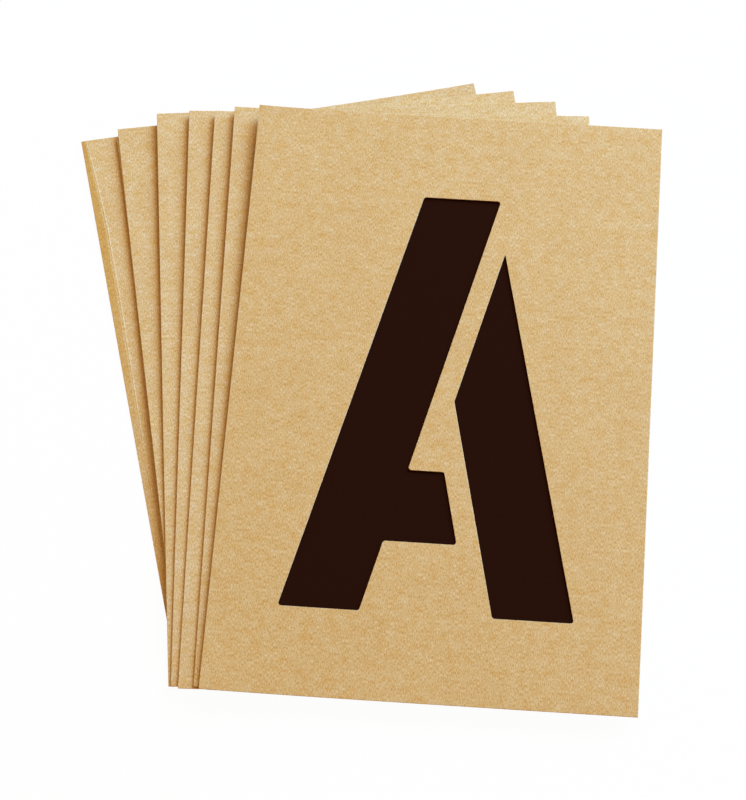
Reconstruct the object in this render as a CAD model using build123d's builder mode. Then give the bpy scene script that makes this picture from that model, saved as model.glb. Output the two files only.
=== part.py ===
from build123d import *
from math import cos, radians, sin
from typing import NamedTuple
import os

os.makedirs("parts", exist_ok=True)

# A set of letter stencils cut from stiff board, lying fanned out in a pile on a table.
# Origin: middle of the lowest board's underside. +Y runs up the front board's letter, +Z up from the table.


class Lie(NamedTuple):
    """How a piece lies in the fan. Lengths in mm, angles in degrees."""

    across: float  # middle of the piece along X
    along: float  # middle of the piece along Y
    turn: float  # turned to the left by this much
    opens: float  # far end tipped up by this much more than the piece below


# Boards
board_width = 178
front_board_length = 288
back_board_length = 279
board_thickness = 0.4
board_corner = 0.3

# Dark slip sheet under the front board, smaller than the board by a margin on each side
slip_margin = 9
slip_thickness = 0.2
slip_width = board_width - 2 * slip_margin
slip_length = front_board_length - 2 * slip_margin

# Air left between one piece and the next where they lie closest
air_gap = 0.4

# The fan, from the front board down to the board on the table
lie_a = Lie(46.8, -18.3, 0, 0.1)
lie_slip = Lie(40.1, -26.3, 0.4, 0.37)
lie_b = Lie(39.9, -13.6, 1.8, 0.37)
lie_c = Lie(32.3, -13.6, 2.3, 0.3)
lie_d = Lie(24.8, -9.9, 4, 0.33)
lie_e = Lie(16.6, -5.9, 6.7, 0.4)
lie_f = Lie(8.9, -0.6, 11.2, 0)
lie_g = Lie(10.8, -3, 12.1, 0.32)
lie_h = Lie(0, 0, 14.55, 0)

# Line along X about which the upper boards are tipped, just in front of the front board
heel_margin = 2
heel_y = lie_a.along - front_board_length / 2 - heel_margin

# Letters: size, place on the board, widths of upright and level strokes, bridges that hold the board together
letter_width = 121.7
letter_height = 204.4
letter_shift = 0.4
letter_drop = 1.2
letter_corner = 1.3
stroke = 33.5
arm = 27
bridge = 9.5

# Letter A: apex off the middle, right leg tucked in at the top and cut to a sharp point, crossbar, board left above
# the crossbar
apex_shift = 3.1
apex_tuck = 2.5
point_corner = 0.2
crossbar = 34.3
counter_height = 34.4

# Round letters: outer corner radius, straight run at a bowl's side and at the ends of C and G
round_radius = 50
bowl_straight = 9
end_straight = 16

# Middle arm of E and F shorter by this much, and how far the G's bar reaches in
arm_step = 16
bar_reach = 17

# The letter's box, measured from the middle of its board
left = letter_shift - letter_width / 2
right = letter_shift + letter_width / 2
base = -letter_drop - letter_height / 2
top = -letter_drop + letter_height / 2
middle = (base + top) / 2

# Inner sides of the left and right upright strokes, and where arms start beyond the bridge
left_inner = left + stroke
right_inner = right - stroke
arm_start = left_inner + bridge
inner_radius = round_radius - stroke


def underside(lie, height, tip):
    """Plane of a piece's lower face: raised to its layer, tipped about the heel line, turned in the fan."""
    slope = radians(tip)
    tipped = Plane(origin=(0, heel_y, height), x_dir=(1, 0, 0), z_dir=(0, -sin(slope), cos(slope)))
    centre = tipped.from_local_coords((lie.across, (lie.along - heel_y) / cos(slope), 0))
    return Plane(origin=centre, x_dir=tipped.rotated((0, 0, lie.turn)).x_dir, z_dir=tipped.z_dir)


def cut(points, radii=letter_corner):
    """Cuts one closed outline with rounded corners out of the sketch being drawn."""
    with BuildLine() as outline:
        FilletPolyline(*points, radius=radii, close=True)
    make_face(outline.edges(), mode=Mode.SUBTRACT)


def cut_bar(low_x, high_x, low_y, high_y):
    """Cuts an upright or level straight stroke."""
    cut([(low_x, low_y), (high_x, low_y), (high_x, high_y), (low_x, high_y)])


def cut_stem():
    """Cuts the full-height upright stroke on the letter's left."""
    cut_bar(left, left_inner, base, top)


def cut_upper_arms():
    """Cuts the top arm and the shorter middle arm of E and F."""
    cut_bar(arm_start, right, top - arm, top)
    cut_bar(arm_start, right - arm_step, middle - arm / 2, middle + arm / 2)


def cut_bowl(low_y, high_y, radius):
    """Cuts a round bowl that opens to the left and starts beyond the bridge."""
    points = [
        (arm_start, low_y),
        (right, low_y),
        (right, high_y),
        (arm_start, high_y),
        (arm_start, high_y - arm),
        (right_inner, high_y - arm),
        (right_inner, low_y + arm),
        (arm_start, low_y + arm),
    ]
    end = letter_corner
    inner = radius - arm
    cut(points, [end, radius, radius, end, end, inner, inner, end])


def letter_a():
    """Left leg with the crossbar on it, and the right leg beyond the bridge."""
    left_lean = (letter_width - stroke) / 2 + apex_shift
    right_lean = (letter_width - stroke) / 2 - apex_shift + apex_tuck

    def left_edge(rise):
        return left + left_lean * rise / letter_height

    def right_edge(rise):
        return right - right_lean * rise / letter_height

    rise_per_width = letter_height / (left_lean + right_lean)
    fork = (letter_width - 2 * stroke - bridge) * rise_per_width
    point = (letter_width - stroke - bridge) * rise_per_width
    bar_high = fork - counter_height
    bar_low = bar_high - crossbar
    cut([
        (left, base),
        (left_edge(letter_height), top),
        (left_edge(letter_height) + stroke, top),
        (left_edge(bar_high) + stroke, base + bar_high),
        (right_edge(bar_high) - stroke - bridge, base + bar_high),
        (right_edge(bar_low) - stroke - bridge, base + bar_low),
        (left_edge(bar_low) + stroke, base + bar_low),
        (left_inner, base),
    ])
    right_leg = [
        (right, base),
        (right_inner, base),
        (right_edge(fork) - stroke, base + fork),
        (right_edge(point), base + point),
    ]
    cut(right_leg, [letter_corner] * 3 + [point_corner])


def letter_b():
    """Stem and two bowls, one above the other."""
    bowl_height = (letter_height - bridge) / 2
    bowl_radius = (bowl_height - bowl_straight) / 2
    cut_stem()
    cut_bowl(base, base + bowl_height, bowl_radius)
    cut_bowl(top - bowl_height, top, bowl_radius)


def letter_c():
    """One round stroke, open on the right."""
    end = round_radius + end_straight
    points = [
        (right, top - end),
        (right, top),
        (left, top),
        (left, base),
        (right, base),
        (right, base + end),
        (right_inner, base + end),
        (right_inner, base + arm),
        (left_inner, base + arm),
        (left_inner, top - arm),
        (right_inner, top - arm),
        (right_inner, top - end),
    ]
    ends = [letter_corner]
    outer = [round_radius] * 4
    inner = [inner_radius] * 4
    cut(points, ends + outer + ends * 2 + inner + ends)


def letter_d():
    """Stem and one full-height bowl."""
    cut_stem()
    cut_bowl(base, top, round_radius)


def letter_e():
    """Stem and three arms, the middle one shorter."""
    cut_stem()
    cut_upper_arms()
    cut_bar(arm_start, right, base, base + arm)


def letter_f():
    """Stem and two arms."""
    cut_stem()
    cut_upper_arms()


def letter_g():
    """One round stroke with a bar turned in at the middle of its right side."""
    end = round_radius + end_straight
    bar_start = right_inner - bar_reach
    points = [
        (right, top - end),
        (right, top),
        (left, top),
        (left, base),
        (right, base),
        (right, middle),
        (bar_start, middle),
        (bar_start, middle - arm),
        (right_inner, middle - arm),
        (right_inner, base + arm),
        (left_inner, base + arm),
        (left_inner, top - arm),
        (right_inner, top - arm),
        (right_inner, top - end),
    ]
    ends = [letter_corner]
    outer = [round_radius] * 4
    inner = [inner_radius] * 4
    cut(points, ends + outer + ends * 4 + inner + ends)


def letter_h():
    """Two stems and a crossbar between them, with a bridge at each end."""
    cut_stem()
    cut_bar(right_inner, right, base, top)
    cut_bar(arm_start, right_inner - bridge, middle - arm / 2, middle + arm / 2)


def make_board(name, plane, length, letter):
    """Makes one stencil board on its plane, with its letter cut through it, and writes it."""
    with BuildPart() as board:
        with BuildSketch(plane):
            RectangleRounded(board_width, length, board_corner)
            letter()
        extrude(amount=board_thickness)
    board.part.label = name
    export_step(board.part, f"parts/{name}.step")


# The boards below the slip sheet, from the table up
lower_boards = [
    ("board_h", lie_h, back_board_length, letter_h),
    ("board_g", lie_g, back_board_length, letter_g),
    ("board_f", lie_f, back_board_length, letter_f),
    ("board_e", lie_e, front_board_length, letter_e),
    ("board_d", lie_d, front_board_length, letter_d),
    ("board_c", lie_c, front_board_length, letter_c),
    ("board_b", lie_b, front_board_length, letter_b),
]
height = 0
tip = 0
for name, lie, length, letter in lower_boards:
    tip = tip + lie.opens
    make_board(name, underside(lie, height, tip), length, letter)
    height = height + board_thickness + air_gap

# The slip sheet on the lower boards
tip = tip + lie_slip.opens
with BuildPart() as slip_sheet:
    with BuildSketch(underside(lie_slip, height, tip)):
        Rectangle(slip_width, slip_length)
    extrude(amount=slip_thickness)
slip_sheet.part.label = "slip_sheet"
export_step(slip_sheet.part, "parts/slip_sheet.step")
height = height + slip_thickness + air_gap

# The front board on the slip sheet
tip = tip + lie_a.opens
make_board("board_a", underside(lie_a, height, tip), front_board_length, letter_a)
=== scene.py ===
"""Looks for a fanned pile of letter stencils: boards, slip sheet, floor, light and camera."""

import logging
from dataclasses import dataclass
from enum import Enum

import bpy
import numpy as np
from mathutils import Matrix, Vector
from mathutils.geometry import delaunay_2d_cdt


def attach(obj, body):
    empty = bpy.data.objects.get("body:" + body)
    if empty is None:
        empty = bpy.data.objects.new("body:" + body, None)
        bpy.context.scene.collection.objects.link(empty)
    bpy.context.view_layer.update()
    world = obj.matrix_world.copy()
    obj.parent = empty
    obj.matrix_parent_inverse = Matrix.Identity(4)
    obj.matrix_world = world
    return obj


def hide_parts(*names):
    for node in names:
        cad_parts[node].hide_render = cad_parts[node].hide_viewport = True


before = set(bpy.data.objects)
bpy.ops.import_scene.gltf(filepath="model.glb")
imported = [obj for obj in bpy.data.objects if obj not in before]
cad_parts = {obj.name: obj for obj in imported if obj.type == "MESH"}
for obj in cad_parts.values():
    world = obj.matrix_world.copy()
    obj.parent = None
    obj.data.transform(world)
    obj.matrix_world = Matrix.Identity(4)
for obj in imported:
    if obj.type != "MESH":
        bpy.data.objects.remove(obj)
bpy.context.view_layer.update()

log = logging.getLogger("stencils")

Triple = tuple[float, float, float]

MM = 0.001

# A CAD triangle is on a sheet's top face where the upward part of its normal is more than this.
FACES_UP = 0.9
# CAD corners that agree to this many decimals of a metre are one corner.
MERGE_DECIMALS = 7
# The triangulation takes points nearer than this, in millimetres, as one.
SAME_POINT_MM = 1e-6
# Triangles of less than this, in square metres, are leftovers along a straight edge.
LEAST_AREA = 5e-15

# The Mix node's sockets for colours, by number because its names repeat for each kind of value.
MIX_SHARE = 0
MIX_FIRST = 6
MIX_SECOND = 7
MIX_COLOUR = 2
# The Map Range node's sockets for vectors, by number for the same reason.
RANGE_VALUE = 6
RANGE_LEAST = 9
RANGE_GREATEST = 10


def linear(colour: str) -> tuple[float, float, float, float]:
    """Turns an sRGB hex colour into Blender's linear colour.

    A channel c from 0 to 1 becomes c / 12.92 up to 0.04045, and above that ((c + 0.055) / 1.055) to the
    power 2.4.

    Args:
        colour: The colour as "#rrggbb".

    Returns:
        Red, green and blue from 0 to 1, and an alpha of 1.
    """
    channels = np.array([int(colour[start : start + 2], 16) for start in (1, 3, 5)]) / 255
    straight = channels / 12.92
    curved = ((channels + 0.055) / 1.055) ** 2.4
    red, green, blue = np.where(channels <= 0.04045, straight, curved).tolist()
    return red, green, blue, 1.0


def add_node(
    tree: bpy.types.NodeTree, kind: str, inputs: dict[str | int, object] | None = None, **settings: object
) -> bpy.types.Node:
    """Adds one shader node with its settings and links.

    Args:
        tree: The node tree of a material or the world.
        kind: Blender's name for the type of node.
        inputs: For each socket, a value or the output socket of another node.
        settings: The node's own properties.

    Returns:
        The new node.
    """
    node = tree.nodes.new(kind)
    for name, value in settings.items():
        setattr(node, name, value)
    for socket, value in (inputs or {}).items():
        if isinstance(value, bpy.types.NodeSocket):
            tree.links.new(value, node.inputs[socket])
        else:
            node.inputs[socket].default_value = value
    return node


def blank_material(name: str) -> bpy.types.Material:
    """Makes a material with an empty node tree.

    Args:
        name: The material's name.

    Returns:
        The new material.
    """
    material = bpy.data.materials.new(name)
    material.use_nodes = True
    material.node_tree.nodes.clear()
    return material


def grain(tree: bpy.types.NodeTree, noise: bpy.types.NodeSocket, contrast: Triple) -> bpy.types.NodeSocket:
    """Adds factors near one for red, green and blue, which follow a noise.

    Args:
        tree: The material's node tree.
        noise: A grey noise from 0 to 1.
        contrast: How far apart the least and the greatest factor are, for each channel.

    Returns:
        The socket with the three factors.
    """
    least = tuple(1 - channel / 2 for channel in contrast)
    greatest = tuple(1 + channel / 2 for channel in contrast)
    spread = add_node(
        tree,
        "ShaderNodeMapRange",
        {RANGE_VALUE: noise, RANGE_LEAST: least, RANGE_GREATEST: greatest},
        data_type="FLOAT_VECTOR",
        clamp=False,
    )
    return spread.outputs["Vector"]


@dataclass(frozen=True)
class KraftBoard:
    """Unbleached kraft stencil board, calendered and die cut.

    To the eye it is a tan sheet with a fine fleck of paler and browner fibres along the board, a warmer and
    cooler mottle a few millimetres across, a dull shine toward the light and paler fibres laid open along
    every cut. The same paler colour is painted along a scored ridge as a highlight, and a browner colour is
    painted on a margin and toward the front board's near end as shade, there over a browner tone of the
    board's own.

    Each pattern's detail is how many finer layers lie on it, and its fineness is how strong they are.
    """

    name: str = "kraft_stencil_board"
    pale: str = "#dcbd87"
    deep: str = "#d0ad76"
    # Paler colour of cut edges, also painted along a scored ridge as a highlight.
    cut_edge_and_highlight: str = "#ddc498"
    # Browner colour that paints shade on a scored margin and toward the front board's near end, where it also
    # gives a browner tone.
    brown_and_painted_shade: str = "#c99c4d"
    # Fleck of single fibres. Real ones are 0.03 mm wide, and are drawn at about a pixel so that they show.
    fleck_across_mm: float = 0.4
    fleck_along_mm: float = 1.3
    fleck_detail: float = 1.0
    fleck_fineness: float = 0.6
    fleck_contrast: Triple = (0.82, 1.38, 2.9)
    # Mottle where the pulp is warmer or cooler.
    mottle_mm: float = 5.0
    mottle_detail: float = 4.0
    mottle_fineness: float = 0.85
    mottle_contrast: Triple = (0.25, 0.9, 2.6)
    # Clouds across the sheet.
    cloud_mm: float = 16.0
    cloud_detail: float = 2.0
    cloud_fineness: float = 0.5
    roughness_low: float = 0.56
    roughness_high: float = 0.66
    ior: float = 1.5
    tooth_mm: float = 0.03

    def material(self) -> bpy.types.Material:
        """Builds the board's material.

        The clouds mix the pale and the deep colour, and two attributes of the mesh turn the mix to the
        browner colour, which is painted shade, and to the cut edge's colour, which also paints a highlight
        along a scored ridge. The mottle and the fleck then multiply it.

        Returns:
            The finished material.
        """
        made = blank_material(self.name)
        tree = made.node_tree
        place = add_node(tree, "ShaderNodeAttribute", attribute_name="sheet_place").outputs["Vector"]
        fleck_scale = (1 / (self.fleck_across_mm * MM), 1 / (self.fleck_along_mm * MM), 1.0)
        stretched = add_node(tree, "ShaderNodeMapping", {"Vector": place, "Scale": fleck_scale})
        fleck = add_node(
            tree,
            "ShaderNodeTexNoise",
            {
                "Vector": stretched.outputs["Vector"],
                "Scale": 1.0,
                "Detail": self.fleck_detail,
                "Roughness": self.fleck_fineness,
            },
        ).outputs["Fac"]
        mottle = add_node(
            tree,
            "ShaderNodeTexNoise",
            {
                "Vector": place,
                "Scale": 1 / (self.mottle_mm * MM),
                "Detail": self.mottle_detail,
                "Roughness": self.mottle_fineness,
            },
        ).outputs["Fac"]
        cloud = add_node(
            tree,
            "ShaderNodeTexNoise",
            {
                "Vector": place,
                "Scale": 1 / (self.cloud_mm * MM),
                "Detail": self.cloud_detail,
                "Roughness": self.cloud_fineness,
            },
        ).outputs["Fac"]
        colour = add_node(
            tree,
            "ShaderNodeMix",
            {MIX_SHARE: cloud, MIX_FIRST: linear(self.pale), MIX_SECOND: linear(self.deep)},
            data_type="RGBA",
        ).outputs[MIX_COLOUR]
        # The browner colour paints shade, and the cut edge's colour also paints a highlight along a scored
        # ridge.
        for attribute, tone in (("brown_and_painted_shade", self.brown_and_painted_shade), ("rim", self.cut_edge_and_highlight)):
            share = add_node(tree, "ShaderNodeAttribute", attribute_name=attribute).outputs["Fac"]
            colour = add_node(
                tree,
                "ShaderNodeMix",
                {MIX_SHARE: share, MIX_FIRST: colour, MIX_SECOND: linear(tone)},
                data_type="RGBA",
            ).outputs[MIX_COLOUR]
        for noise, contrast in ((mottle, self.mottle_contrast), (fleck, self.fleck_contrast)):
            factors = grain(tree, noise, contrast)
            colour = add_node(
                tree,
                "ShaderNodeMix",
                {MIX_SHARE: 1.0, MIX_FIRST: colour, MIX_SECOND: factors},
                data_type="RGBA",
                blend_type="MULTIPLY",
            ).outputs[MIX_COLOUR]
        self._finish(tree, colour, fleck)
        return made

    def _finish(
        self, tree: bpy.types.NodeTree, colour: bpy.types.NodeSocket, fleck: bpy.types.NodeSocket
    ) -> None:
        """Adds the shine and the tooth, which follow the fleck.

        Args:
            tree: The material's node tree.
            colour: The board's colour.
            fleck: The noise of single fibres, from 0 to 1.
        """
        roughness = add_node(
            tree,
            "ShaderNodeMapRange",
            {"Value": fleck, "To Min": self.roughness_low, "To Max": self.roughness_high},
        ).outputs["Result"]
        tooth = add_node(
            tree, "ShaderNodeBump", {"Height": fleck, "Distance": self.tooth_mm * MM, "Strength": 1.0}
        ).outputs["Normal"]
        shader = add_node(
            tree,
            "ShaderNodeBsdfPrincipled",
            {"Base Color": colour, "Roughness": roughness, "Normal": tooth, "IOR": self.ior},
        )
        add_node(tree, "ShaderNodeOutputMaterial", {"Surface": shader.outputs["BSDF"]})


@dataclass(frozen=True)
class SlipPaper:
    """Dark brown dyed slip paper, uncoated and matt.

    To the eye it is an even, very dark brown with hardly any shine, a little lighter where the fibres lie
    thin.
    """

    name: str = "dark_slip_paper"
    deep: str = "#230f07"
    thin: str = "#2b130b"
    # Clumps of fibre in the sheet.
    clump_mm: float = 1.6
    clump_detail: float = 3.0
    clump_fineness: float = 0.6
    roughness: float = 0.95
    specular: float = 0.02
    ior: float = 1.45

    def material(self) -> bpy.types.Material:
        """Builds the slip sheet's material, a mix of its two browns by a noise of the clumps' size.

        Returns:
            The finished material.
        """
        made = blank_material(self.name)
        tree = made.node_tree
        place = add_node(tree, "ShaderNodeAttribute", attribute_name="sheet_place").outputs["Vector"]
        clump = add_node(
            tree,
            "ShaderNodeTexNoise",
            {
                "Vector": place,
                "Scale": 1 / (self.clump_mm * MM),
                "Detail": self.clump_detail,
                "Roughness": self.clump_fineness,
            },
        ).outputs["Fac"]
        brown = add_node(
            tree,
            "ShaderNodeMix",
            {MIX_SHARE: clump, MIX_FIRST: linear(self.deep), MIX_SECOND: linear(self.thin)},
            data_type="RGBA",
        ).outputs[MIX_COLOUR]
        shader = add_node(
            tree,
            "ShaderNodeBsdfPrincipled",
            {
                "Base Color": brown,
                "Roughness": self.roughness,
                "Specular IOR Level": self.specular,
                "IOR": self.ior,
            },
        )
        add_node(tree, "ShaderNodeOutputMaterial", {"Surface": shader.outputs["BSDF"]})
        return made


class Stock(Enum):
    """What a sheet is cut from, as its material slot is named."""

    KRAFT_BOARD = "kraft_board"
    SLIP_PAPER = "slip_paper"


class Corner(Enum):
    """The corners at which sheets bend, as signs along a sheet's width and length."""

    FAR_LEFT = (-1, 1)
    FAR_RIGHT = (1, 1)
    NEAR_LEFT = (-1, -1)


@dataclass(frozen=True)
class Bend:
    """A corner of a sheet that has sprung up, or sagged where the rise is negative."""

    corner: Corner
    rise_mm: float
    # The greater the power, the nearer to the corner the bend stays, across and along the sheet.
    across_power: float = 1.0
    along_power: float = 1.0

    def lift(self, places: np.ndarray, half_size: np.ndarray) -> np.ndarray:
        """Works out how far the bend lifts points of the sheet.

        The way to the corner, as a share of the width and as a share of the length, is raised to the two
        powers, and the lift is the rise times both.

        Args:
            places: Points on the sheet, from its middle, in metres.
            half_size: Half of the sheet's width and length.

        Returns:
            The lift of each point, in metres.
        """
        share = np.clip((1 + places * np.array(self.corner.value) / half_size) / 2, 0, 1)
        return self.rise_mm * MM * share[:, 0] ** self.across_power * share[:, 1] ** self.along_power


@dataclass(frozen=True)
class Bow:
    """A stretch of a sheet's left side that stands up from the pile."""

    rise_mm: float
    # The stretch's middle, from the sheet's far end, and half of its length.
    middle_mm: float = 200.0
    reach_mm: float = 110.0
    # The greater the power, the nearer to the left edge the bow stays.
    across_power: float = 4.0

    def lift(self, places: np.ndarray, half_size: np.ndarray) -> np.ndarray:
        """Works out how far the bow lifts points of the sheet.

        The lift is the rise times two shares. One is the way from the right edge to the left one, raised to
        the power. The other is the square of one less the squared way from the stretch's middle to its ends.

        Args:
            places: Points on the sheet, from its middle, in metres.
            half_size: Half of the sheet's width and length.

        Returns:
            The lift of each point, in metres.
        """
        across = np.clip((1 - places[:, 0] / half_size[0]) / 2, 0, 1) ** self.across_power
        from_middle = ((half_size[1] - places[:, 1]) / MM - self.middle_mm) / self.reach_mm
        return self.rise_mm * MM * across * np.clip(1 - from_middle**2, 0, 1) ** 2


@dataclass(frozen=True)
class ScoredMargin:
    """A left margin that slopes down beside a scored ridge, with painted shade and a painted highlight.

    The margin and the dip beside the ridge are painted browner as shade, and the ridge's lit side is painted
    in the cut edge's paler colour as a highlight.

    The first four tuples hold one value for each line across the margin, and the others one for each place
    along it. Between them the values run straight.
    """

    from_edge_mm: tuple[float, ...] = (0.0, 3.3, 3.7, 4.2, 4.4, 4.6, 4.8, 5.0, 5.4, 60.0)
    lift_mm: tuple[float, ...] = (0.0, 0.2, 0.2, 0.2, 0.25, 0.3, 0.245, 0.19, 0.188, 0.0)
    # Painted highlight: share of the cut edge's paler colour on the ridge's lit side.
    pale: tuple[float, ...] = (0.0, 0.0, 0.0, 0.0, 0.0, 0.2, 0.6, 0.0, 0.0, 0.0)
    # Painted shade: share of the browner colour, on the margin and in the dip beside the ridge.
    brown_and_painted_shade: tuple[float, ...] = (1.0, 1.0, 0.1, 0.05, 0.2, 0.1, 0.0, 0.0, 0.0, 0.0)

    # At places along the margin, the lines' share of their full distance and how strong the painted shade is.
    from_far_mm: tuple[float, ...] = (0.0, 20.0, 48.0, 85.0, 125.0, 170.0)
    spread: tuple[float, ...] = (0.45, 0.75, 1.0, 0.97, 0.84, 0.67)
    force: tuple[float, ...] = (1.0, 1.0, 1.0, 0.95, 0.7, 0.1)

    def along(self, values: tuple[float, ...], places: np.ndarray, half_size: np.ndarray) -> np.ndarray:
        """Reads one of the values along the margin, from the distance to the sheet's far end."""
        return np.interp((half_size[1] - places) / MM, self.from_far_mm, values)

    def at(self, values: tuple[float, ...], places: np.ndarray, half_size: np.ndarray) -> np.ndarray:
        """Reads one of the values across the margin, from the distance to the sheet's left edge."""
        from_edge = (places[:, 0] + half_size[0]) / self.along(self.spread, places[:, 1], half_size)
        return np.interp(from_edge / MM, self.from_edge_mm, values)

    def points(self, half_size: np.ndarray, spacing: float) -> np.ndarray:
        """Lays points along each of the margin's lines, so that the mesh follows them.

        Args:
            half_size: Half of the sheet's width and length, in metres.
            spacing: The way from one point of a line to the next, in metres.

        Returns:
            The points, from the sheet's middle.
        """
        along = np.arange(-half_size[1] + spacing / 2, half_size[1], spacing)
        spread = self.along(self.spread, along, half_size)
        across = np.outer(spread, self.from_edge_mm[1:]) * MM - half_size[0]
        return np.stack([across, np.repeat(along[:, None], across.shape[1], axis=1)], axis=2).reshape(-1, 2)


@dataclass(frozen=True)
class SheetPlan:
    """A flat sheet read from its CAD node: its own axes, thickness and outlines.

    The outlines run with the material on their left, and following gives the next point round for each.
    """

    centre: np.ndarray
    axes: np.ndarray
    half_size: np.ndarray
    thickness: float
    points: np.ndarray
    following: np.ndarray

    @staticmethod
    def read(mesh: bpy.types.Mesh, spacing: float) -> "SheetPlan":
        """Reads a sheet from the CAD.

        The triangles that face up are the top, and an edge that only one of them has is on an outline. The
        longest of these edges runs along the sheet, and across is the product of along and up. Each edge is
        then divided evenly into runs no longer than the spacing.

        Args:
            mesh: The CAD node's mesh.
            spacing: The longest run between two outline points, in metres.

        Returns:
            The sheet's plan.
        """
        corners, triangles = merged_triangles(mesh)
        sides = np.diff(corners[triangles], axis=1)
        normals = np.cross(sides[:, 0], sides[:, 1])
        normals /= np.linalg.norm(normals, axis=1, keepdims=True)
        on_top = normals[:, 2] > FACES_UP
        top = triangles[on_top]
        up = normals[on_top].mean(axis=0)
        up /= np.linalg.norm(up)

        starts = top.ravel()
        ends = np.roll(top, -1, axis=1).ravel()
        shared = np.isin(starts * len(corners) + ends, ends * len(corners) + starts)
        starts, ends = starts[~shared], ends[~shared]
        runs = corners[ends] - corners[starts]
        lengths = np.linalg.norm(runs, axis=1)
        along = runs[lengths.argmax()] / lengths.max()
        along *= np.sign(along[1])
        axes = np.stack([np.cross(along, up), along, up])

        on_axes = corners @ axes.T
        low, high = on_axes.min(axis=0), on_axes.max(axis=0)
        middle = np.array([*(low + high)[:2] / 2, low[2]])
        flat = (on_axes - middle)[:, :2]

        parts = np.maximum(np.ceil(lengths / spacing).astype(int), 1)
        edge = np.repeat(np.arange(len(parts)), parts)
        first = np.cumsum(parts) - parts
        share = (np.arange(len(edge)) - first[edge]) / parts[edge]
        points = flat[starts][edge] + share[:, None] * (flat[ends] - flat[starts])[edge]
        first_at = np.zeros(len(corners), int)
        first_at[starts] = first
        following = np.arange(1, len(edge) + 1)
        following[first + parts - 1] = first_at[ends]
        return SheetPlan(middle @ axes, axes, (high - low)[:2] / 2, high[2] - low[2], points, following)

    def inset(self, distance: float) -> np.ndarray:
        """Moves the outline points into the material.

        A point moves along the sum of the two edges' normals over one plus their cosine, which keeps both
        edges at the same distance.

        Args:
            distance: How far each edge moves, in metres.

        Returns:
            The moved points.
        """
        runs = self.points[self.following] - self.points
        runs /= np.linalg.norm(runs, axis=1, keepdims=True)
        leaving = np.stack([-runs[:, 1], runs[:, 0]], axis=1)
        arriving = np.empty_like(leaving)
        arriving[self.following] = leaving
        cosine = (leaving * arriving).sum(axis=1, keepdims=True)
        return self.points + distance * (leaving + arriving) / (1 + cosine)

    def holds(self, places: np.ndarray, ring: np.ndarray) -> np.ndarray:
        """Tells which places are in the material.

        A line from such a place to the right meets the ring an odd number of times.

        Args:
            places: Points on the sheet, from its middle, in metres.
            ring: The outline points, moved in or not.

        Returns:
            True for each place in the material.
        """
        across, along = places[:, :1], places[:, 1:]
        start, end = ring, ring[self.following]
        spans = (start[:, 1] > along) != (end[:, 1] > along)
        rise = np.where(start[:, 1] == end[:, 1], 1.0, end[:, 1] - start[:, 1])
        meets = start[:, 0] + (along - start[:, 1]) * (end[:, 0] - start[:, 0]) / rise
        return (spans & (across < meets)).sum(axis=1) % 2 == 1

    def clear_of(self, places: np.ndarray, ring: np.ndarray, room: float) -> np.ndarray:
        """Tells which places lie further than some room from every edge of the ring.

        The nearest point of an edge is where the way to the place falls square on it, or else an end.

        Args:
            places: Points on the sheet, from its middle, in metres.
            ring: The outline points, moved in or not.
            room: The room that is asked for, in metres.

        Returns:
            True for each place that has the room.
        """
        start, run = ring, ring[self.following] - ring
        offset = places[:, None, :] - start
        share = np.clip((offset * run).sum(axis=2) / (run * run).sum(axis=1), 0, 1)
        gap = np.linalg.norm(offset - share[:, :, None] * run, axis=2)
        return gap.min(axis=1) > room

    def filled(
        self, ring: np.ndarray, spacing: float, lines: np.ndarray, line_room: float
    ) -> tuple[np.ndarray, np.ndarray]:
        """Fills a ring with triangles.

        A grid of points at the spacing, less those outside the material or near its edge, points along scored
        lines and the ring's own points are joined by a Delaunay triangulation that keeps the ring's edges.

        Args:
            ring: The outline points, moved in or not.
            spacing: The grid's spacing, in metres.
            lines: More points, along scored lines.
            line_room: How near to the ring those may lie, in metres.

        Returns:
            All the points, the ring's first, and three indices for each triangle, anticlockwise.
        """
        steps = [np.arange(-half + spacing / 2, half, spacing) for half in self.half_size]
        grid = np.stack(np.meshgrid(*steps), axis=2).reshape(-1, 2)
        grid = grid[self.holds(grid, ring) & self.clear_of(grid, ring, spacing / 2)]
        lines = lines[self.holds(lines, ring) & self.clear_of(lines, ring, line_room)]
        places = np.concatenate([ring, grid, lines])
        edges = np.stack([np.arange(len(ring)), self.following], axis=1)
        made = delaunay_2d_cdt((places / MM).tolist(), edges.tolist(), [], 0, SAME_POINT_MM)
        source = np.array([sources[0] for sources in made[3]])
        triangles = source[np.array(made[2])]
        triangles = triangles[self.holds(places[triangles].mean(axis=1), ring)]
        first, second = np.moveaxis(np.diff(places[triangles], axis=1), 1, 0)
        area = (first[:, 0] * second[:, 1] - first[:, 1] * second[:, 0]) / 2
        clockwise = area < 0
        triangles[clockwise] = triangles[clockwise][:, ::-1]
        return places, triangles[abs(area) > LEAST_AREA]


def merged_triangles(mesh: bpy.types.Mesh) -> tuple[np.ndarray, np.ndarray]:
    """Reads a CAD node's loose triangles with the doubled corners merged.

    Args:
        mesh: The CAD node's mesh.

    Returns:
        The corners in metres, and three indices for each triangle.
    """
    corners = np.empty(len(mesh.vertices) * 3)
    mesh.vertices.foreach_get("co", corners)
    corners = corners.reshape(-1, 3)
    mesh.calc_loop_triangles()
    triangles = np.empty(len(mesh.loop_triangles) * 3, int)
    mesh.loop_triangles.foreach_get("vertices", triangles)
    rounded = corners.round(MERGE_DECIMALS)
    _, kept, merged = np.unique(rounded, axis=0, return_index=True, return_inverse=True)
    return corners[kept], merged.reshape(-1)[triangles].reshape(-1, 3)


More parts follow.
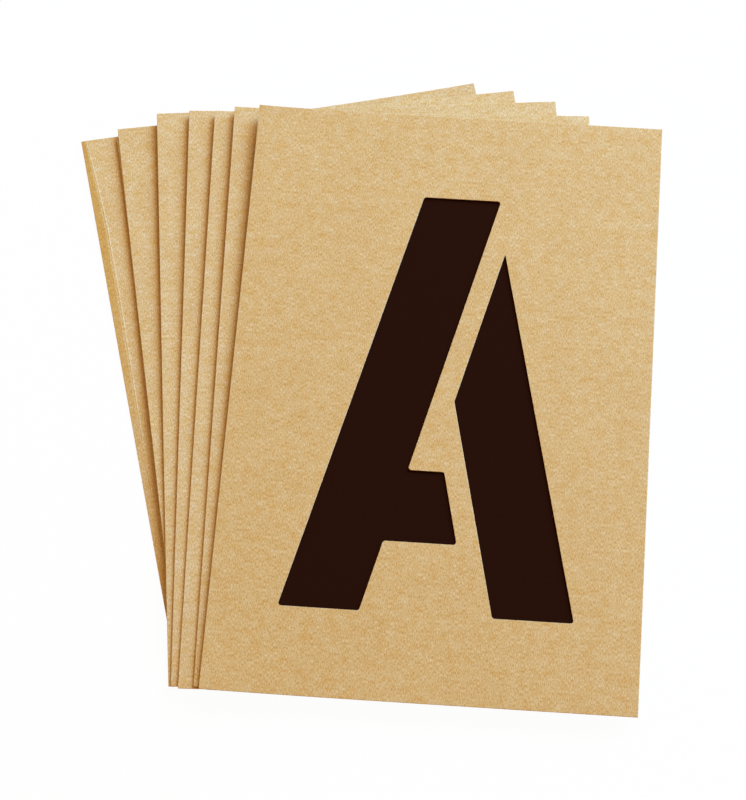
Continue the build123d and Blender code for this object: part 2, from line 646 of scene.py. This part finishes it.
@dataclass
class CutSheet:
    """A sheet of board or paper that stands for its CAD node, with softened cut edges."""

    node: str
    name: str
    # Which stretch of the pattern the sheet shows, so that no two are alike.
    batch: int
    stock: Stock = Stock.KRAFT_BOARD
    bends: tuple[Bend | Bow, ...] = ()
    margin: ScoredMargin | None = None
    # How far the sheet is turned toward the browner colour at its near and its far end: painted shade, darker
    # toward the near end away from the lights, over a browner tone of the sheet's own.
    browned_and_painted_shade: tuple[float, float] = (0.0, 0.0)
    # Spacing of the points on the faces and along the outlines, and the scored lines' way to an outline.
    spacing_mm: float = 5.0
    outline_mm: float = 5.0
    line_room_mm: float = 0.3
    # The cut edge's roll: how far in it starts, how far in and down it turns, and the most of the thickness
    # that it takes.
    rim_mm: float = 0.25
    roll_mm: float = 0.1
    most_roll: float = 1 / 3
    # The middle of a quarter turn lies this share of its radius from the turn's two straight sides.
    turn_middle: float = 0.3
    # How much of the cut edge's colour reaches the sheet's side.
    side_rim: float = 0.5

    def profile(self, thickness: float) -> np.ndarray:
        """Lists the edge's profile from the top face to the underside.

        Args:
            thickness: The sheet's thickness, in metres.

        Returns:
            A row for each point, with its inset, its height and its share of the cut edge's colour.
        """
        roll = min(self.roll_mm * MM, thickness * self.most_roll)
        rim = self.rim_mm * MM
        turn = roll * self.turn_middle
        return np.array([
            (rim, thickness, 0.0),
            (roll, thickness, self.side_rim),
            (turn, thickness - turn, self.side_rim),
            (0, thickness - roll, self.side_rim),
            (0, roll, self.side_rim),
            (turn, turn, self.side_rim),
            (roll, 0, self.side_rim),
            (rim, 0, 0.0),
        ])

    def build(self) -> bpy.types.Object:
        """Builds the sheet's mesh in its place.

        The profile is carried along the outlines, and the two faces are filled in. Every point is then lifted
        by the bends and the scored margin.

        Returns:
            The new object, riding on its node's body.
        """
        plan = SheetPlan.read(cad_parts[self.node].data, self.outline_mm * MM)
        profile = self.profile(plan.thickness)
        rings = np.stack([plan.inset(distance) for distance in profile[:, 0]])
        count = len(plan.points)
        spacing = self.spacing_mm * MM
        lines = self.margin.points(plan.half_size, spacing / 2) if self.margin else np.empty((0, 2))
        places, triangles = plan.filled(rings[0], spacing, lines, self.line_room_mm * MM)
        inner = places[count:]

        flat = np.concatenate([rings.reshape(-1, 2), inner, inner])
        heights = np.concatenate([
            np.repeat(profile[:, 1], count),
            np.full(len(inner), plan.thickness),
            np.zeros(len(inner)),
        ])
        rim = np.concatenate([np.repeat(profile[:, 2], count), np.zeros(2 * len(inner))])
        # Painted shade: the sheet turns browner toward its near end, over a browner tone of its own.
        brown_and_painted_shade = np.interp(flat[:, 1], (-plan.half_size[1], plan.half_size[1]), self.browned_and_painted_shade)
        for bend in self.bends:
            heights = heights + bend.lift(flat, plan.half_size)
        if self.margin:
            heights = heights + self.margin.at(self.margin.lift_mm, flat, plan.half_size) * MM
            # Painted highlight along the ridge's lit side, in the cut edge's paler colour.
            rim = np.maximum(rim, self.margin.at(self.margin.pale, flat, plan.half_size))
            # Painted shade on the margin and in the dip beside the ridge, fading toward the near end.
            brown_and_painted_shade = self.margin.at(self.margin.brown_and_painted_shade, flat, plan.half_size)
            brown_and_painted_shade = brown_and_painted_shade * self.margin.along(self.margin.force, flat[:, 1], plan.half_size)
        vertices = plan.centre + np.column_stack([flat, heights]) @ plan.axes

        mesh = bpy.data.meshes.new(self.name)
        faces = self.faces(len(profile), plan.following, triangles, len(inner))
        mesh.from_pydata(vertices.tolist(), [], faces)
        mesh.shade_smooth()
        pattern = np.column_stack([flat, np.full(len(flat), float(self.batch))]).ravel()
        mesh.attributes.new("sheet_place", "FLOAT_VECTOR", "POINT").data.foreach_set("vector", pattern)
        # The rim attribute holds the cut edges' own paler colour and the painted highlight along the ridge.
        mesh.attributes.new("rim", "FLOAT", "POINT").data.foreach_set("value", rim)
        mesh.attributes.new("brown_and_painted_shade", "FLOAT", "POINT").data.foreach_set("value", brown_and_painted_shade)
        made = bpy.data.objects.new(self.name, mesh)
        bpy.context.scene.collection.objects.link(made)
        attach(made, self.node)
        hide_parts(self.node)
        return made

    def faces(
        self, rings: int, following: np.ndarray, triangles: np.ndarray, inner: int
    ) -> list[list[int]]:
        """Joins the rings by quads, and the first and last ring to the points inside them by triangles.

        Args:
            rings: How many points the profile has.
            following: The next point round for each outline point.
            triangles: Indices for the top face's triangles, the ring's points first.
            inner: How many points lie inside each face.

        Returns:
            The indices of each face's corners, with the faces outwards.
        """
        count = len(following)
        here = np.arange(rings - 1)[:, None] * count + np.arange(count)
        after = np.arange(rings - 1)[:, None] * count + following
        quads = np.stack([here, here + count, after + count, after], axis=2).reshape(-1, 4)
        top_inner = rings * count
        upper = np.where(triangles < count, triangles, triangles - count + top_inner)
        last_ring = top_inner - count
        lower = np.where(triangles < count, triangles + last_ring, triangles - count + top_inner + inner)
        return [*quads.tolist(), *upper.tolist(), *lower[:, ::-1].tolist()]

    def dress(self, made: bpy.types.Object, material: bpy.types.Material) -> None:
        """Gives the sheet its material."""
        made.data.materials.append(material)


@dataclass
class StencilFan:
    """The pile of stencil boards and the slip sheet under the front one."""

    board_finish: KraftBoard = KraftBoard()
    slip_finish: SlipPaper = SlipPaper()

    @staticmethod
    def middle_board(letter: str, *near: Bend, batch: int, sag_mm: float, bow_mm: float) -> CutSheet:
        """Describes a board in the middle of the pile, which sags to the far right and bows on the left.

        Args:
            letter: The letter that is cut through it.
            near: Bends at its near corners.
            batch: Which stretch of the pattern it shows.
            sag_mm: How far its far right corner hangs down.
            bow_mm: How far its left side stands up.

        Returns:
            The board.
        """
        bends = (*near, Bend(Corner.FAR_RIGHT, -sag_mm), Bow(bow_mm))
        return CutSheet(f"board_{letter}", f"stencil_{letter}", batch, bends=bends)

    def sheets(self) -> list[CutSheet]:
        """Lists the sheets of the pile.

        Returns:
            The sheets, from the board on the floor to the front board.
        """
        lifted = Bend(Corner.NEAR_LEFT, 0.4, across_power=8, along_power=12)
        drooping = Bend(Corner.NEAR_LEFT, -0.6, across_power=20, along_power=30)
        rear = (
            Bend(Corner.FAR_LEFT, 0.8, across_power=3, along_power=1.5),
            Bend(Corner.FAR_RIGHT, 1.4, across_power=6, along_power=8),
        )
        under_front = (lifted, Bend(Corner.FAR_LEFT, 0.4), Bend(Corner.FAR_RIGHT, 0.4), Bow(0.5))
        front = (
            Bend(Corner.FAR_LEFT, 1.3, across_power=8, along_power=12),
            Bend(Corner.NEAR_LEFT, 0.9, across_power=6, along_power=8),
            Bow(0.4),
        )
        return [
            CutSheet("board_h", "stencil_h", batch=1, bends=rear, margin=ScoredMargin(), outline_mm=1.0),
            self.middle_board("g", batch=2, sag_mm=0.9, bow_mm=1.4),
            self.middle_board("f", batch=3, sag_mm=0.9, bow_mm=1.4),
            self.middle_board("e", drooping, batch=4, sag_mm=2.1, bow_mm=1.2),
            self.middle_board("d", drooping, batch=14, sag_mm=4.0, bow_mm=1.0),
            self.middle_board("c", batch=6, sag_mm=5.1, bow_mm=0.8),
            self.middle_board("b", lifted, batch=7, sag_mm=6.8, bow_mm=0.65),
            CutSheet(
                "slip_sheet",
                "slip_under_front",
                batch=8,
                stock=Stock.SLIP_PAPER,
                bends=under_front,
                rim_mm=0.3,
                side_rim=0.0,
            ),
            # The front board is painted browner toward its near end as shade, over a browner tone of its own.
            CutSheet("board_a", "stencil_a", batch=9, bends=front, browned_and_painted_shade=(0.5, 0.3)),
        ]

    def build(self) -> list[bpy.types.Object]:
        """Builds and dresses every sheet.

        Returns:
            The sheets' objects.
        """
        finishes = {
            Stock.KRAFT_BOARD: self.board_finish.material(),
            Stock.SLIP_PAPER: self.slip_finish.material(),
        }
        pieces = []
        for sheet in self.sheets():
            made = sheet.build()
            sheet.dress(made, finishes[sheet.stock])
            pieces.append(made)
        return pieces


@dataclass(frozen=True)
class SoftLight:
    """A large oval soft light."""

    name: str
    colour: str
    place_m: Triple
    wide_m: float
    high_m: float
    watts: float

    def build(self, aim_m: Triple) -> bpy.types.Object:
        """Makes the light.

        Args:
            aim_m: The point that the light faces, in metres.

        Returns:
            The light.
        """
        lamp = bpy.data.lights.new(self.name, "AREA")
        lamp.shape = "ELLIPSE"
        lamp.size = self.wide_m
        lamp.size_y = self.high_m
        lamp.energy = self.watts
        lamp.color = linear(self.colour)[:3]
        light = bpy.data.objects.new(self.name, lamp)
        light.location = self.place_m
        aim = Vector(aim_m) - Vector(self.place_m)
        light.rotation_euler = aim.to_track_quat("-Z", "Y").to_euler()
        bpy.context.scene.collection.objects.link(light)
        return light


@dataclass
class Studio:
    """White floor, warm light all round, a high soft light at the back right and a low cool one beside it.

    The three add up to white on a level sheet, so that colours show as written. The low light's shadows reach
    furthest and the warm light has none, so that a shadow is golden at its rim and brown where it starts.
    """

    floor_half_m: float = 6.0
    # The floor lies this far under the lowest board, so that their faces don't coincide.
    floor_drop_mm: float = 0.05
    floor_paper: str = "#f3f3f3"
    # Share of the floor's brightness that light and shadow don't change.
    floor_even: float = 0.97
    background: str = "#ffffff"
    fill: str = "#c0914b"
    aim_m: Triple = (0.03, 0.0, 0.0)
    keys: tuple[SoftLight, ...] = (
        SoftLight("high_key", "#f0fff0", (1.056, 1.851, 1.653), wide_m=1.2, high_m=2.6, watts=57.9),
        SoftLight("low_key", "#63b6ff", (1.775, 1.571, 1.302), wide_m=1.2, high_m=2.0, watts=96.0),
    )

    def seen_directly(self, tree: bpy.types.NodeTree) -> bpy.types.NodeSocket:
        """Adds a factor of one for camera, mirror and glass rays, and of zero for those that carry light.

        Args:
            tree: The node tree of the floor or the world.

        Returns:
            The socket that holds the factor.
        """
        path = add_node(tree, "ShaderNodeLightPath")
        mirrored = add_node(
            tree,
            "ShaderNodeMath",
            {0: path.outputs["Is Camera Ray"], 1: path.outputs["Is Glossy Ray"]},
            operation="MAXIMUM",
        )
        return add_node(
            tree,
            "ShaderNodeMath",
            {0: mirrored.outputs[0], 1: path.outputs["Is Transmission Ray"]},
            operation="MAXIMUM",
        ).outputs[0]

    def build(self) -> list[bpy.types.Object]:
        """Builds the floor, the world and the lights.

        Returns:
            The floor and the lights.
        """
        self._world()
        return [self._floor(), *(key.build(self.aim_m) for key in self.keys)]

    def _floor(self) -> bpy.types.Object:
        """Builds the floor, a level square, as a white sheet that keeps a soft shadow.

        Returns:
            The floor.
        """
        half = self.floor_half_m
        level = -self.floor_drop_mm * MM
        signs = np.array([(-1, -1), (1, -1), (1, 1), (-1, 1)])
        mesh = bpy.data.meshes.new("studio_floor")
        mesh.from_pydata([(*place, level) for place in (signs * half).tolist()], [], [(0, 1, 2, 3)])
        material = blank_material("white_paper_floor")
        tree = material.node_tree
        paper = add_node(tree, "ShaderNodeBsdfDiffuse", {"Color": linear(self.floor_paper)})
        glow = add_node(tree, "ShaderNodeEmission", {"Color": linear(self.background), "Strength": 1.0})
        share = add_node(
            tree,
            "ShaderNodeMath",
            {0: self.seen_directly(tree), 1: self.floor_even},
            operation="MULTIPLY",
        )
        seen = add_node(
            tree,
            "ShaderNodeMixShader",
            {0: share.outputs[0], 1: paper.outputs["BSDF"], 2: glow.outputs["Emission"]},
        )
        add_node(tree, "ShaderNodeOutputMaterial", {"Surface": seen.outputs["Shader"]})
        mesh.materials.append(material)
        floor = bpy.data.objects.new("studio_floor", mesh)
        bpy.context.scene.collection.objects.link(floor)
        return floor

    def _world(self) -> None:
        """Makes the surroundings, which are seen as white and light the scene with the fill."""
        world = bpy.data.worlds.new("white_surroundings")
        world.use_nodes = True
        tree = world.node_tree
        tree.nodes.clear()
        lights = add_node(tree, "ShaderNodeBackground", {"Color": linear(self.fill), "Strength": 1.0})
        shows = add_node(tree, "ShaderNodeBackground", {"Color": linear(self.background), "Strength": 1.0})
        seen = add_node(
            tree,
            "ShaderNodeMixShader",
            {0: self.seen_directly(tree), 1: lights.outputs["Background"], 2: shows.outputs["Background"]},
        )
        add_node(tree, "ShaderNodeOutputWorld", {"Surface": seen.outputs["Shader"]})
        bpy.context.scene.world = world


@dataclass
class PhotoCamera:
    """The photograph's camera, from a fit to the corners and edges of the boards."""

    place_mm: Triple = (82.84, -918.73, 1407.32)
    aim_mm: Triple = (17.94, -13.16, -0.76)
    focal_pixels: float = 3927.83
    # The photograph's long side, which the sensor's width stands for.
    long_side_pixels: float = 800.0
    sensor_mm: float = 36.0

    def build(self) -> bpy.types.Object:
        """Makes the camera and the view settings.

        The focal length in millimetres is the one in pixels times the sensor's width over the long side.

        Returns:
            The camera.
        """
        data = bpy.data.cameras.new("photo_camera")
        data.sensor_width = self.sensor_mm
        data.lens = self.focal_pixels * self.sensor_mm / self.long_side_pixels
        camera = bpy.data.objects.new("photo_camera", data)
        camera.location = Vector(self.place_mm) * MM
        aim = Vector(self.aim_mm) - Vector(self.place_mm)
        camera.rotation_euler = aim.to_track_quat("-Z", "Y").to_euler()
        bpy.context.scene.collection.objects.link(camera)
        bpy.context.scene.camera = camera
        bpy.context.scene.view_settings.view_transform = "Standard"
        return camera


def main() -> None:
    """Builds the pile, the studio and the camera in order."""
    logging.basicConfig(level=logging.INFO, format="%(message)s")
    for piece in StencilFan().build():
        log.info("%s: %d faces", piece.name, len(piece.data.polygons))
    for thing in [*Studio().build(), PhotoCamera().build()]:
        log.info("%s", thing.name)


if __name__ == "__main__":
    main()
